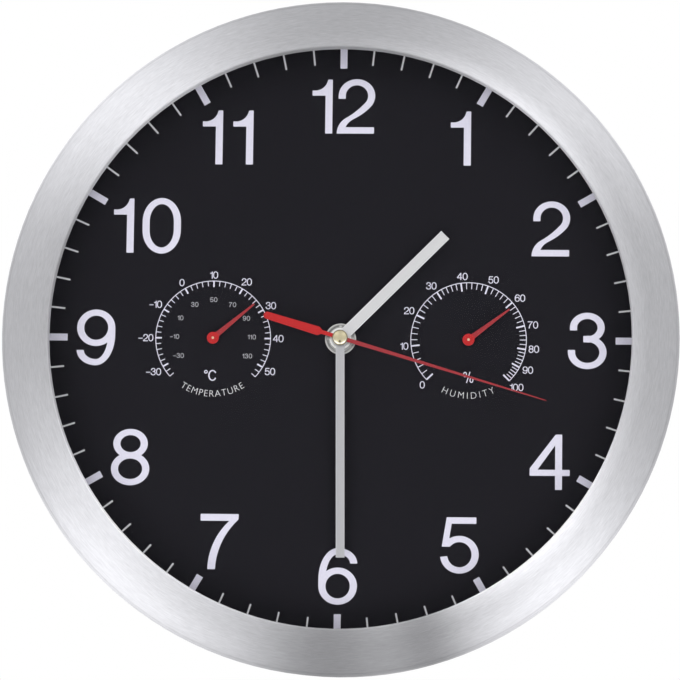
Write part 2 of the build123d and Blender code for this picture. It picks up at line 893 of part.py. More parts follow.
def mesh_phase(driver_phase, driver_teeth, follower_teeth, bearing):
    driver_pitch, follower_pitch = 360 / driver_teeth, 360 / follower_teeth
    lead = ((bearing - driver_phase) / driver_pitch) % 1
    return bearing + 180 + (lead + 1 / 2) * follower_pitch


def arbor(back, front, radius=arbor_radius):
    return (
        disc(radius, back + press_fit, front - press_fit)
        + disc(pivot_radius, back - pivot_depth, back + press_fit)
        + disc(pivot_radius, front - press_fit, front + pivot_depth)
    )


def placed(shape, place):
    return Pos(place.X, place.Y, 0) * shape


motion_phase = mesh_phase(0, cannon_teeth, motion_teeth, motion_bearing)
knob_phase = mesh_phase(motion_phase, motion_teeth, cannon_teeth, knob_bearing)
hour_phase = mesh_phase(0, motion_pinion_teeth, hour_teeth, motion_bearing + 180)
third_pinion_phase = mesh_phase(0, center_teeth, third_pinion_teeth, third_bearing)
second_pinion_phase = mesh_phase(0, third_teeth, second_pinion_teeth, third_bearing + 180)
intermediate_phase = mesh_phase(0, second_teeth, intermediate_pinion_teeth, intermediate_bearing)
rotor_phase = mesh_phase(0, intermediate_teeth, rotor_teeth, rotor_bearing)


def hour_wheel():
    front = hour_hand_z + hand_sheet + hand_stub
    gear = wheel(hour_teeth, hour_module, hour_wheel_z, hour_wheel_thickness, hour_phase)
    gear = gear + disc(hour_tube_radius, hour_wheel_z, front)
    return gear - disc(minute_tube_radius + running_fit, hour_wheel_z, front)


def center_wheel():
    front = minute_hand_z + hand_sheet + hand_stub
    gear = wheel(center_teeth, center_module, center_wheel_z, center_wheel_thickness, 0)
    gear = gear + disc(minute_tube_radius, center_wheel_z, front)
    gear = gear + pinion(
        cannon_teeth, motion_module, motion_wheel_z - pinion_overhang,
        motion_wheel_z + motion_wheel_thickness + pinion_overhang, 0,
    )
    return gear - disc(second_arbor_radius + running_fit, center_wheel_z, front)


def motion_wheel():
    gear = wheel(motion_teeth, motion_module, motion_wheel_z, motion_wheel_thickness, motion_phase)
    leaves = pinion(
        motion_pinion_teeth, hour_module, motion_wheel_z,
        hour_wheel_z + hour_wheel_thickness + pinion_overhang, 0,
    )
    pin = arbor(train_plate_z + train_plate_thickness, plate_back_z)
    return placed(gear + leaves + pin, motion_axis)


def third_wheel():
    gear = wheel(third_teeth, third_module, third_wheel_z, third_wheel_thickness, 0)
    leaves = pinion(
        third_pinion_teeth, center_module, third_wheel_z,
        center_wheel_z + center_wheel_thickness + pinion_overhang, third_pinion_phase,
    )
    return placed(gear + leaves + arbor(floor_z, train_plate_z), third_axis)


def second_wheel():
    gear = wheel(second_teeth, second_module, second_wheel_z, second_wheel_thickness, 0)
    leaves = pinion(
        second_pinion_teeth, third_module, second_wheel_z,
        third_wheel_z + third_wheel_thickness + pinion_overhang, second_pinion_phase,
    )
    shaft = disc(second_arbor_radius, floor_z + press_fit, second_hand_z + second_hand_sheet)
    pivot = disc(pivot_radius, floor_z - pivot_depth, floor_z + press_fit)
    return gear + leaves + shaft + pivot


def intermediate_wheel():
    gear = wheel(intermediate_teeth, intermediate_module, intermediate_wheel_z,
                 intermediate_wheel_thickness, 0)
    leaves = pinion(
        intermediate_pinion_teeth, second_module, intermediate_wheel_z,
        second_wheel_z + second_wheel_thickness + pinion_overhang, intermediate_phase,
    )
    return placed(gear + leaves + arbor(floor_z, train_plate_z), intermediate_axis)


def magnet_z():
    return core_z - magnet_thickness / 2


def rotor():
    leaves = pinion(
        rotor_teeth, intermediate_module, intermediate_wheel_z - pinion_overhang,
        intermediate_wheel_z + intermediate_wheel_thickness + pinion_overhang, rotor_phase,
    )
    sleeve = disc(magnet_sleeve_radius, magnet_z(), magnet_z() + magnet_thickness)
    return placed(leaves + sleeve + arbor(floor_z, train_plate_z), rotor_axis)


def rotor_magnet():
    return ring(
        magnet_radius, magnet_sleeve_radius + press_fit, magnet_z(), magnet_z() + magnet_thickness,
        rotor_axis,
    )


def set_knob():
    rim = Circle(knob_radius)
    flute = Pos(0, knob_radius, 0) * Circle(knob_flute_radius)
    for step in range(knob_flutes):
        rim = rim - turned(flute, 360 * step / knob_flutes)
    front = case_back_z - knob_air
    knob = slab(rim, front - knob_thickness, front)
    leaves_front = motion_wheel_z + motion_wheel_thickness + pinion_overhang
    leaves = pinion(cannon_teeth, motion_module, motion_wheel_z - pinion_overhang, leaves_front, knob_phase)
    shaft = disc(knob_shaft_radius, front, plate_back_z - press_fit)
    pivot = disc(pivot_radius, plate_back_z - press_fit, plate_back_z + pivot_depth)
    return placed(knob + leaves + shaft + pivot, knob_axis)


# Movement case, plates and screws
def case_outline(inset, corner):
    side = case_side - 2 * inset
    return Pos(0, -case_shift, 0) * RectangleRounded(side, side, corner)


def movement_case():
    case = slab(case_outline(0, case_corner), case_back_z, plate_back_z)
    case = case - slab(case_outline(case_wall, case_corner - case_wall), floor_z, plate_back_z)
    slot = contact_sheet + contact_play
    wall_reach = bay_half_length - slot
    case = case + block(-wall_reach, wall_reach, bay_high_y, train_low_y, floor_z, plate_back_z)
    case = case - block(-bay_half_length, bay_half_length, bay_low_y, bay_high_y, case_back_z, floor_z)
    for place in pillar_places:
        case = case + disc(pillar_radius, floor_z, train_plate_z, place)
    for place, top in rests():
        case = case + disc(board_post_radius, floor_z, top, place)
    for place in pillar_places:
        case = case - disc(case_screw_radius + screw_play, case_screw_tip_z(), train_plate_z, place)
    for place in (Vector(0, 0, 0), third_axis, intermediate_axis, rotor_axis):
        case = case - disc(pivot_radius + pivot_play, floor_z - pivot_depth - pivot_play, floor_z, place)
    return case - disc(knob_shaft_radius + pivot_play, case_back_z, floor_z, knob_axis)


def rests():
    edge = board_post_radius + board_margin
    return (
        (Vector(board_left_x + edge, board_high_y - edge, 0), board_z),
        (Vector(board_right_x - edge, board_low_y + edge, 0), board_z),
        (Vector(core_left_x + board_post_radius, core_y, 0), core_z - core_side / 2),
        (Vector(rotor_axis.X + stator_margin - edge, stator_high_y - edge, 0), stator_z),
    )


def case_screw_tip_z():
    return case_front_z - case_screw_head - (plate_back_z - train_plate_z) - case_screw_grip


def movement_front():
    plate = slab(case_outline(0, case_corner), plate_back_z, case_front_z)
    for place in pillar_places:
        plate = plate + disc(pillar_radius, train_plate_z + train_plate_thickness, plate_back_z, place)
    for place in pillar_places:
        plate = plate - disc(case_screw_radius + screw_play, train_plate_z, case_front_z, place)
        plate = plate - disc(
            case_screw_head_radius + screw_play, case_front_z - case_screw_head, case_front_z, place
        )
    for place in (motion_axis, knob_axis):
        plate = plate - disc(
            pivot_radius + pivot_play, plate_back_z, plate_back_z + pivot_depth + pivot_play, place
        )
    return plate - disc(bushing_radius + press_fit, plate_back_z, case_front_z)


def train_plate():
    front = train_plate_z + train_plate_thickness
    width = 2 * (bay_half_length - slide_play)
    height = case_high_y - train_low_y - 2 * slide_play
    sketch = RectangleRounded(width, height, case_corner - case_wall)
    plate = slab(Pos(0, (case_high_y + train_low_y) / 2, 0) * sketch, train_plate_z, front)
    holes = [
        (Vector(0, 0, 0), minute_tube_radius + running_fit),
        (knob_axis, knob_shaft_radius + pivot_play),
        (motion_axis, pivot_radius + pivot_play),
        (third_axis, pivot_radius + pivot_play),
        (intermediate_axis, pivot_radius + pivot_play),
        (rotor_axis, pivot_radius + pivot_play),
    ]
    holes += [(place, case_screw_radius + screw_play) for place in pillar_places]
    for place, radius in holes:
        plate = plate - disc(radius, train_plate_z, front, place)
    return plate


def case_screw(place):
    seat = case_front_z - case_screw_head
    screw = disc(case_screw_radius, case_screw_tip_z(), seat, place)
    screw = screw + disc(case_screw_head_radius, seat, case_front_z, place)
    for turn in (0, 90):
        drive = turned(Rectangle(2 * case_screw_radius, drive_width), turn)
        screw = screw - slab(placed(drive, place), case_front_z - drive_depth, case_front_z)
    return screw


def case_screws():
    return group(case_screw(place) for place in pillar_places)


# Motor and circuit
def stator():
    plate = block(
        rotor_axis.X - stator_margin, rotor_axis.X + stator_margin,
        stator_high_y - stator_width, stator_high_y, stator_z, stator_z + stator_sheet,
    )
    plate = plate - disc(magnet_radius + stator_gap, stator_z, stator_z + stator_sheet, rotor_axis)
    core = block(
        core_left_x, core_right_x, core_y - core_side / 2, core_y + core_side / 2,
        core_z - core_side / 2, core_z + core_side / 2,
    )
    return plate + core


def along_x(outer, length, x_middle):
    return Pos(x_middle, core_y, core_z) * Rot(0, 90, 0) * Cylinder(outer, length)


def bobbin_middle_x():
    return core_right_x - core_length / 2


def bobbin_tube_radius():
    return core_side / sqrt(2) + bobbin_wall


def coil_bobbin():
    middle = bobbin_middle_x()
    end = (bobbin_length - bobbin_flange) / 2
    bobbin = along_x(bobbin_tube_radius(), bobbin_length, middle)
    for side in (-end, end):
        bobbin = bobbin + along_x(bobbin_flange_radius, bobbin_flange, middle + side)
    hole_side = core_side + 2 * screw_play
    hole = Pos(middle, core_y, core_z) * Box(bobbin_length, hole_side, hole_side)
    return bobbin - hole


def coil_winding():
    length = bobbin_length - 2 * bobbin_flange - 2 * press_fit
    outer = along_x(bobbin_flange_radius - winding_margin, length, bobbin_middle_x())
    return outer - along_x(bobbin_tube_radius() + press_fit, length, bobbin_middle_x())


def circuit_board():
    return block(board_left_x, board_right_x, board_low_y, board_high_y, board_z, board_z + board_thickness)


def circuit_chip():
    front = board_z + board_thickness
    place = Vector(board_left_x + board_width / 3, (board_low_y + board_high_y) / 2, 0)
    blob = disc(chip_radius, front, front + chip_height, place)
    rim = blob.edges().filter_by(GeomType.CIRCLE).sort_by(Axis.Z)[-1]
    return chamfer(rim, chip_height / 2)


def quartz_crystal():
    place = (board_right_x - board_width / 5, board_low_y + board_length / 2,
             board_z + board_thickness + crystal_radius)
    return Pos(*place) * Rot(90, 0, 0) * Cylinder(crystal_radius, crystal_length)


# Battery and its contacts
def battery_at(x_low, x_high, radius):
    middle = Pos((x_low + x_high) / 2, battery_y, battery_z)
    return middle * Rot(0, 90, 0) * Cylinder(radius, x_high - x_low)


def battery():
    shoulder = battery_front_x - battery_nub
    can = battery_at(battery_back_x, shoulder, battery_radius)
    can = chamfer(can.edges().filter_by(GeomType.CIRCLE), battery_rim)
    return can + battery_at(shoulder, battery_front_x, battery_nub_radius)


def contact_plate(x_low, leg_high_y):
    middle_z = battery_z
    plate = block(
        x_low, x_low + contact_sheet, battery_y - contact_width / 2, battery_y + contact_width / 2,
        middle_z - contact_width / 2, middle_z + contact_width / 2,
    )
    leg_back = floor_z
    leg = block(x_low, x_low + contact_sheet, battery_y, leg_high_y, leg_back, leg_back + contact_leg)
    return plate + leg


def battery_contact_positive():
    return contact_plate(bay_half_length - contact_sheet, board_low_y + board_length / 3)


def battery_contact_negative():
    strip_low_y = train_low_y + contact_play
    strip_high_y = strip_low_y + contact_leg / 2
    contact = contact_plate(-bay_half_length, strip_high_y)
    strip_end_x = board_left_x + contact_leg
    strip = block(
        -bay_half_length, strip_end_x, strip_low_y, strip_high_y, floor_z, floor_z + contact_sheet
    )
    riser = block(
        strip_end_x - contact_sheet, strip_end_x, strip_low_y, strip_high_y, floor_z, board_z
    )
    cup_back = -bay_half_length + contact_sheet
    cup = battery_at(cup_back, battery_back_x - contact_play, contact_cup_radius)
    return contact + strip + riser + cup


# Back cover and its screws
def frame_screw_turns():
    return [frame_screw_first_angle + 360 * step / frame_screws_count for step in range(frame_screws_count)]


def outward(shape, inner, turn):
    return turned(Pos(0, inner, cover_inset + frame_screw_lift) * Rot(-90, 0, 0) * shape, turn)


def screw_solid(play, turn, inner):
    low = (Align.CENTER, Align.CENTER, Align.MIN)
    head_back = frame_inner_radius
    head_front = frame_radius - frame_screw_sink
    if play:
        head_front = frame_radius + overrun
    slope = (frame_screw_head_radius - frame_screw_radius) / (frame_sheet - frame_screw_sink)
    head_radius = frame_screw_radius + slope * (head_front - head_back) + play
    head = Cone(frame_screw_radius + play, head_radius, head_front - head_back, align=low)
    shank = Cylinder(frame_screw_radius + play, head_back - inner, align=low)
    return outward(head, head_back, turn) + outward(shank, inner, turn)


def frame_screw_holes():
    inner = frame_inner_radius - overrun
    return [screw_solid(screw_play, turn, inner) for turn in frame_screw_turns()]


def frame_screws():
    screws = []
    for turn in frame_screw_turns():
        screw = screw_solid(0, turn, frame_inner_radius - frame_screw_length)
        for bar in ((2 * frame_screw_radius, drive_width), (drive_width, 2 * frame_screw_radius)):
            slot = Pos(0, 0, -drive_depth / 2) * Box(bar[0], bar[1], drive_depth)
            screw = screw - outward(slot, frame_radius - frame_screw_sink, turn)
        screws.append(screw)
    return group(screws)


def cover_boss(turn):
    low = (Align.CENTER, Align.CENTER, Align.MIN)
    inner = frame_inner_radius - frame_screw_length - boss_radius / 2
    boss = outward(Cylinder(boss_radius, cover_radius - cover_wall / 2 - inner, align=low), inner, turn)
    web = Pos(0, (inner + cover_radius - cover_wall / 2) / 2, 0) * Rectangle(
        rib_width, cover_radius - cover_wall / 2 - inner
    )
    return [boss, turned(slab(web, cover_front_z, cover_inset + frame_screw_lift), turn)]


def cover_ribs():
    rib_inner_radius = (case_half + window_margin) * sqrt(2) + rib_gap
    rib = radial_bar(rib_inner_radius, press_rib_inner_radius() + press_rib_wall / 2, rib_width, 0)
    rib = slab(rib, cover_front_z, cover_front_z + rib_height)
    return [turned(rib, 360 * (step + 1 / 2) / rib_count) for step in range(rib_count)]


def press_rib_inner_radius():
    return spacer_inner_radius + press_rib_margin


def back_cover():
    cover = disc(cover_radius, cover_inset, cover_front_z)
    solids = [ring(cover_radius, cover_radius - cover_wall, cover_front_z, cover_front_z + cover_rim_height)]
    inner = press_rib_inner_radius()
    solids.append(ring(inner + press_rib_wall, inner, cover_front_z, dial_back_z))
    solids += cover_ribs()
    for turn in frame_screw_turns():
        solids += cover_boss(turn)
    cover = cover + solids
    window_side = case_side + 2 * window_margin
    window = Pos(0, -case_shift, 0) * RectangleRounded(window_side, window_side, window_corner)
    cuts = [slab(window, cover_inset, cover_front_z)]
    cuts += [slab(sketch, cover_inset, cover_front_z) for sketch in vent_sketches()]
    cuts.append(slab(hanger_window(), cover_inset, cover_front_z))
    cuts.append(slab(hanger_outline(hanger_play), cover_front_z, hanger_front_z + rivet_head + hanger_play))
    cuts += [
        disc(rivet_radius + screw_play, cover_inset, cover_front_z, place) for place in rivet_places()
    ]
    for turn in frame_screw_turns():
        inner = frame_inner_radius - frame_screw_length
        hole = Cylinder(
            frame_screw_radius + screw_play, frame_inner_radius - inner,
            align=(Align.CENTER, Align.CENTER, Align.MIN),
        )
        cuts.append(outward(hole, inner, turn))
    return cover - cuts


def vent_sketches():
    sketches = []
    for place in instrument_places().values():
        for step in range(vent_count):
            y = place.Y + vent_pitch * (step - (vent_count - 1) / 2)
            sketches.append(Pos(place.X, y, 0) * SlotOverall(vent_length, vent_width))
    return sketches


# Hanger
def hanger_middle_y():
    return hanger_height + keyhole_slot / 2


def keyhole():
    slot = Pos(0, hanger_height + keyhole_slot / 2, 0) * Rectangle(keyhole_slot_width, keyhole_slot)
    end = Pos(0, hanger_height + keyhole_slot, 0) * Circle(keyhole_slot_width / 2)
    return Pos(0, hanger_height, 0) * Circle(keyhole_radius) + slot + end


def hanger_window():
    margin = keyhole_radius + hanger_window_margin
    length = keyhole_slot + 2 * margin
    return Pos(0, hanger_middle_y(), 0) * RectangleRounded(2 * margin, length, margin / 2)


def rivet_places():
    reach = hanger_length / 2 - rivet_inset
    return [Vector(0, hanger_middle_y() + side * reach, 0) for side in (-1, 1)]


def hanger_outline(play):
    return Pos(0, hanger_middle_y(), 0) * RectangleRounded(
        hanger_width + 2 * play, hanger_length + 2 * play, hanger_corner + play
    )


def hanger_plate():
    plate = slab(hanger_outline(0) - keyhole(), cover_front_z, hanger_front_z)
    for place in rivet_places():
        plate = plate - disc(rivet_radius + screw_play, cover_front_z, hanger_front_z, place)
    return plate


def hanger_rivets():
    rivets = []
    for place in rivet_places():
        rivet = disc(rivet_radius, cover_inset, hanger_front_z, place)
        rivet = rivet + disc(rivet_head_radius, cover_inset - rivet_head, cover_inset, place)
        rivets.append(rivet + disc(rivet_head_radius, hanger_front_z, hanger_front_z + rivet_head, place))
    return group(rivets)


# Every node, turned upright and written
def upright(shape):
    return Rot(90, 0, 0) * Pos(0, 0, -frame_depth / 2) * shape


def all_parts():
    parts = {
        "bezel_frame": bezel_frame(),
        "front_glass": front_glass(),
        "spacer_ring": spacer_ring(),
        "dial_plate": dial_plate(),
        "hour_numerals": hour_numerals(),
        "hour_marks": hour_marks(),
        "minute_marks": minute_marks(),
        "thermometer_scale": thermometer_scale(),
        "hygrometer_scale": hygrometer_scale(),
        "hour_hand": hour_hand(),
        "minute_hand": minute_hand(),
        "second_hand": second_hand(),
        "second_hand_cap": second_hand_cap(),
        "threaded_bushing": threaded_bushing(),
        "rubber_washer": rubber_washer(),
        "dial_washer": dial_washer(),
        "round_nut": round_nut(),
        "hour_wheel": hour_wheel(),
        "center_wheel": center_wheel(),
        "motion_wheel": motion_wheel(),
        "third_wheel": third_wheel(),
        "second_wheel": second_wheel(),
        "intermediate_wheel": intermediate_wheel(),
        "rotor": rotor(),
        "rotor_magnet": rotor_magnet(),
        "set_knob": set_knob(),
        "movement_case": movement_case(),
        "movement_front": movement_front(),
        "train_plate": train_plate(),
        "case_screws": case_screws(),
        "stator": stator(),
        "coil_bobbin": coil_bobbin(),
        "coil_winding": coil_winding(),
        "circuit_board": circuit_board(),
        "circuit_chip": circuit_chip(),
        "quartz_crystal": quartz_crystal(),
        "battery": battery(),
        "battery_contact_positive": battery_contact_positive(),
        "battery_contact_negative": battery_contact_negative(),
        "back_cover": back_cover(),
        "frame_screws": frame_screws(),
        "hanger_plate": hanger_plate(),
        "hanger_rivets": hanger_rivets(),
    }
    for name, place in instrument_places().items():
        parts[name + "_cup"] = instrument_cup(place)
        parts[name + "_coil"] = instrument_coil(name, place)
        parts[name + "_arbor"] = instrument_arbor(name, place)
        parts[name + "_pointer"] = instrument_pointer(name, place)
    return parts


os.makedirs("parts", exist_ok=True)
for node, shape in all_parts().items():
    export_step(upright(shape), "parts/" + node + ".step")
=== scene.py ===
import bpy
from math import cos, pi, radians, sin, tan
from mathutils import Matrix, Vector


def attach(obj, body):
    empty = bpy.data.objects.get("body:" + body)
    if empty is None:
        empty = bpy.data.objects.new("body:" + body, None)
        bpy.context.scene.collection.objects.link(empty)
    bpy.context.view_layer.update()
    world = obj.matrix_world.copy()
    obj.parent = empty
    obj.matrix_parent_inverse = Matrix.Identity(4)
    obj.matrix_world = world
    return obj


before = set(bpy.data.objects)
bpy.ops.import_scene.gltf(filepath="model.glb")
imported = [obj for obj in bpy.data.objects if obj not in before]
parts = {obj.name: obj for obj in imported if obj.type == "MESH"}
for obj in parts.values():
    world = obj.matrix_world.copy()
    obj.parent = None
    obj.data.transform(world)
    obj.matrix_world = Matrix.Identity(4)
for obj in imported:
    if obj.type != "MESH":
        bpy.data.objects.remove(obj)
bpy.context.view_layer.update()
print("frame loaded:", len(parts), "parts")


# helpers for the finishes, where owner is a material or the world
def addNode(owner, kind, inputs=None, **settings):
    node = owner.node_tree.nodes.new("ShaderNode" + kind)
    for key, value in settings.items():
        setattr(node, key, value)
    for key, value in (inputs or {}).items():
        if isinstance(value, bpy.types.NodeSocket):
            owner.node_tree.links.new(value, node.inputs[key])
        else:
            node.inputs[key].default_value = value
    return node


def calc(owner, operation, a, b=0.0, c=0.0):
    return addNode(owner, "Math", {0: a, 1: b, 2: c}, operation=operation).outputs[0]


def times(owner, a, b):
    return calc(owner, "MULTIPLY", a, b)


def plus(owner, a, b):
    return calc(owner, "ADD", a, b)


def newFinish(name, color, roughness, metallic=0.0, **sockets):
    material = bpy.data.materials.new(name)
    material.use_nodes = True
    shader = shaderOf(material)
    shader.inputs["Base Color"].default_value = (*color, 1)
    shader.inputs["Roughness"].default_value = roughness
    shader.inputs["Metallic"].default_value = metallic
    for socket, value in sockets.items():
        shader.inputs[socket.replace("_", " ")].default_value = value
    return material


def shaderOf(material):
    return material.node_tree.nodes["Principled BSDF"]


def plug(material, source, socket):
    material.node_tree.links.new(source, shaderOf(material).inputs[socket])


def place(material):
    return addNode(material, "TexCoord").outputs["Object"]


def axesOf(material):
    return addNode(material, "SeparateXYZ", {0: place(material)}).outputs


def join(material, x, y, z):
    return addNode(material, "CombineXYZ", {0: x, 1: y, 2: z}).outputs[0]


def grain(material, vector, scale, detail=3.0, roughness=0.5, depth=None):
    inputs = {"Vector": vector, "Scale": scale, "Detail": detail, "Roughness": roughness}
    if depth is not None:
        inputs["W"] = depth
    kind = "3D" if depth is None else "4D"
    return addNode(material, "TexNoise", inputs, noise_dimensions=kind).outputs[0]


# low and high may be sockets, and noise lies mostly between 0.3 and 0.7
def between(material, factor, low, high, fromLow=0.3, fromHigh=0.7):
    inputs = {"Value": factor, "From Min": fromLow, "From Max": fromHigh, "To Min": low, "To Max": high}
    return addNode(material, "MapRange", inputs).outputs[0]


def blendColors(material, factor, first, second):
    mix = addNode(material, "Mix", data_type="RGBA")
    for socket, value in ((mix.inputs[0], factor), (mix.inputs[6], first), (mix.inputs[7], second)):
        if isinstance(value, bpy.types.NodeSocket):
            material.node_tree.links.new(value, socket)
        else:
            socket.default_value = (*value, 1) if isinstance(value, tuple) else value
    return mix.outputs[2]


def mottled(material, noise, dark, light):
    return blendColors(material, between(material, noise, 0.0, 1.0), dark, light)


def shaded(color, share):
    return tuple(min(value * share, 1) for value in color)


def bumpFrom(material, height, strength, distance):
    bump = addNode(material, "Bump", {"Height": height, "Strength": strength, "Distance": distance})
    plug(material, bump.outputs[0], "Normal")


def around(material, middleX=0.0, middleZ=0.0):
    x, y, z = axesOf(material)
    x = calc(material, "SUBTRACT", x, middleX)
    z = calc(material, "SUBTRACT", z, middleZ)
    square = plus(material, times(material, x, x), times(material, z, z))
    return x, y, z, calc(material, "SQRT", square)


# how far a point lies in the direction of a clock angle
def lengthwise(material, x, z, clockAngle):
    turn = radians(clockAngle)
    return plus(material, times(material, x, sin(turn)), times(material, z, cos(turn)))


# camera, light and floor
view = {
    "azimuth": 2.6, "elevation": -6.0, "distance": 1.5, "fieldOfView": 11.557, "roll": 0.7,
    "aim": (-0.00036, 0.0, -0.0002), "sensorWidth": 36.0,
}


def setCamera():
    turn, lift = radians(view["azimuth"]), radians(view["elevation"])
    back = Vector((sin(turn) * cos(lift), -cos(turn) * cos(lift), sin(lift))) * view["distance"]
    bpy.ops.object.camera_add(location=back + Vector(view["aim"]))
    camera = bpy.context.object
    camera.name = "photoCamera"
    look = (-back).to_track_quat("-Z", "Y").to_matrix().to_4x4()
    camera.rotation_euler = look.to_euler()
    camera.rotation_euler.rotate_axis("Z", radians(view["roll"]))
    camera.data.sensor_width = view["sensorWidth"]
    camera.data.lens = view["sensorWidth"] / 2 / tan(radians(view["fieldOfView"] / 2))
    bpy.context.scene.camera = camera


studio = {
    "skyForDiffuse": 0.86,
    "white": (1, 1, 1, 1),
    "softboxes": [  # name, clock angle, degrees off the dial's axis, distance, side, radiance
        ("upperRightSoftbox", 42, 48, 1.3, 0.55, 1.6),
        ("upperLeftSoftbox", -42, 48, 1.3, 0.55, 1.6),
        ("lowerRightSoftbox", 140, 46, 1.1, 0.6, 2.4),
        ("lowerLeftSoftbox", -138, 46, 1.1, 0.6, 2.4),
        ("rearRightSoftbox", 60, 140, 1.4, 0.6, 3.0),
        ("rearLeftSoftbox", -60, 140, 1.4, 0.6, 3.0),
    ],
}


# the sky is white where it is seen, mirrored or looked through, and softer where it lights
def setWorld():
    world = bpy.data.worlds.new("studioSky")
    bpy.context.scene.world = world
    world.use_nodes = True
    tree = world.node_tree
    soft = tree.nodes["Background"]
    soft.inputs["Color"].default_value = studio["white"]
    soft.inputs["Strength"].default_value = studio["skyForDiffuse"]
    white = addNode(world, "Background", {"Color": studio["white"]})
    rays = addNode(world, "LightPath")
    seen = rays.outputs["Is Camera Ray"]
    for name in ("Is Glossy Ray", "Is Transmission Ray"):
        seen = calc(world, "MAXIMUM", seen, rays.outputs[name])
    mix = addNode(world, "MixShader", {0: seen, 1: soft.outputs[0], 2: white.outputs[0]})
    tree.links.new(mix.outputs[0], tree.nodes["World Output"].inputs["Surface"])


def setSoftboxes():
    for name, clockAngle, offAxis, distance, side, radiance in studio["softboxes"]:
        turn, tilt = radians(clockAngle), radians(offAxis)
        spot = Vector((sin(tilt) * sin(turn), -cos(tilt), sin(tilt) * cos(turn))) * distance
        bpy.ops.object.light_add(type="AREA", location=spot)
        lamp = bpy.context.object
        lamp.name = name
        lamp.data.shape = "SQUARE"
        lamp.data.size = side
        lamp.data.energy = radiance * pi * side * side
        lamp.rotation_euler = (-spot).to_track_quat("-Z", "Y").to_euler()


ground = {
    "height": -0.9, "size": 12.0, "color": (0.80, 0.80, 0.80), "roughness": 0.9,
    "mottleScale": 6.0, "leastMix": 0.97, "dark": 0.96,
}


def layFloor():
    bpy.ops.mesh.primitive_plane_add(size=ground["size"], location=(0, 0, ground["height"]))
    floor = bpy.context.object
    floor.name = "paleFloor"
    finish = newFinish("paleFloorPaint", ground["color"], ground["roughness"])
    mottle = grain(finish, place(finish), ground["mottleScale"])
    mix = between(finish, mottle, ground["leastMix"], 1.0)
    dark = shaded(ground["color"], ground["dark"])
    plug(finish, blendColors(finish, mix, dark, ground["color"]), "Base Color")
    floor.data.materials.append(finish)


for leftOver in ("Cube", "Light", "Camera"):
    if leftOver in bpy.data.objects:
        bpy.data.objects.remove(bpy.data.objects[leftOver])
setCamera()
setWorld()
setSoftboxes()
layFloor()
bpy.context.scene.view_settings.view_transform = "Standard"
print("camera, light and floor set")

# frame ring, brushed metal with painted sheen, painted light and painted shade in its colour
ring = {
    "color": (0.442, 0.442, 0.460), "roughness": 0.55, "anisotropy": 0.8, "brushTurn": 0.25, "leastRadius": 0.001,
    "streakWidth": 5200.0, "streakLength": 30.0, "streakDepth": 0.09,
    "brushWidth": 2200.0, "brushLength": 34.0, "brushDepth": 0.06, "brushDetail": 4.0, "brushRoughness": 0.6,
    "cloudScale": 14.0, "cloudDetail": 2.0, "cloudDepth": 0.03,
    "bumpStrength": 0.12, "bumpDistance": 0.00002,
    "paintedSheens": [  # clock angle, sharpness, gain: four bright fans of painted highlight, two dark ones of painted shade and two faint ones of painted highlight
        (43, 12, 0.46), (134, 13, 0.68), (228, 8, 0.72), (316, 12, 0.66),
        (163, 160, -0.40), (182, 70, -0.34),
        (92, 16, 0.10), (277, 16, 0.12),
    ],
    # a thin line of painted shade along the rolled outer edge
    "lineRadius": 0.1487, "lineWidth": 0.0003, "lineShade": 0.90,
    # near the lip, out to lipFade, the ring gets a painted light, stronger towards the right
    "lipEnd": 0.1305, "lipFade": 0.1365, "paintedLipLightLeft": 1.0, "paintedLipLightRight": 1.20, "paintedLipLightRange": (-0.6, 0.6),
    # inside lipEdge the lip's turned edge gets painted light below and painted shade above
    "lipEdge": 0.1297, "lipEdgeLitBelow": 1.35, "lipEdgeShadedAbove": 0.9, "lipEdgeRange": (-0.7, 0.9),
}


# painted sheen: the fans put the brushed metal's highlights and shade into its colour by the angle around the
# ring
def paintedSheenShare(finish, right, up):
    total = 1.0
    for clockAngle, sharpness, gain in ring["paintedSheens"]:
        facing = calc(finish, "MAXIMUM", lengthwise(finish, right, up, clockAngle), 0.0)
        total = plus(finish, times(finish, calc(finish, "POWER", facing, sharpness), gain), total)
    return total


def brushMarks(finish, right, up, y, radius, length, width):
    vector = join(finish, times(finish, right, length), times(finish, up, length), times(finish, radius, width))
    return grain(finish, vector, 1.0, ring["brushDetail"], ring["brushRoughness"], times(finish, y, width))


